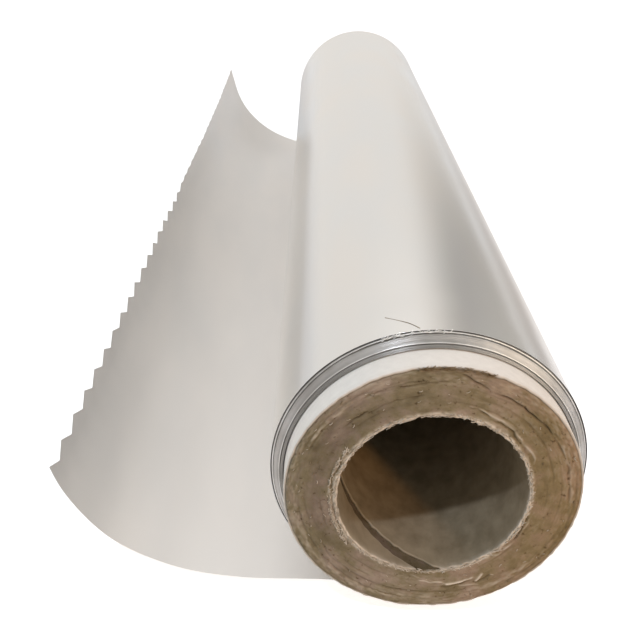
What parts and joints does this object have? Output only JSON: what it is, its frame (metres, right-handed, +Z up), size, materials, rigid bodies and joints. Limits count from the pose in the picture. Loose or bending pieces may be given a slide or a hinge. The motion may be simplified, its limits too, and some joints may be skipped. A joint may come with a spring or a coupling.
{
  "type": "aluminium foil roll",
  "caption": "Roll of kitchen aluminium foil on a spiral-wound cardboard core, with a curled loose end and a toothed free edge.",
  "frame": {"origin": "middle of the core's bore, on its axis", "axes": "+Y along the roll's axis from the near end to the far end, +Z up, the loose end lies towards -X"},
  "size_m": [0.0933, 0.3152, 0.055],
  "materials": {
    "foil": "satin",
    "brown_board": "matt",
    "white_ply": "matt",
    "liner_ply": "matt"
  },
  "bodies": {
    "root": {"foil": "foil", "core_tube": "brown_board", "core_facing": "white_ply", "core_liner": "liner_ply"}
  },
  "joints": []
}
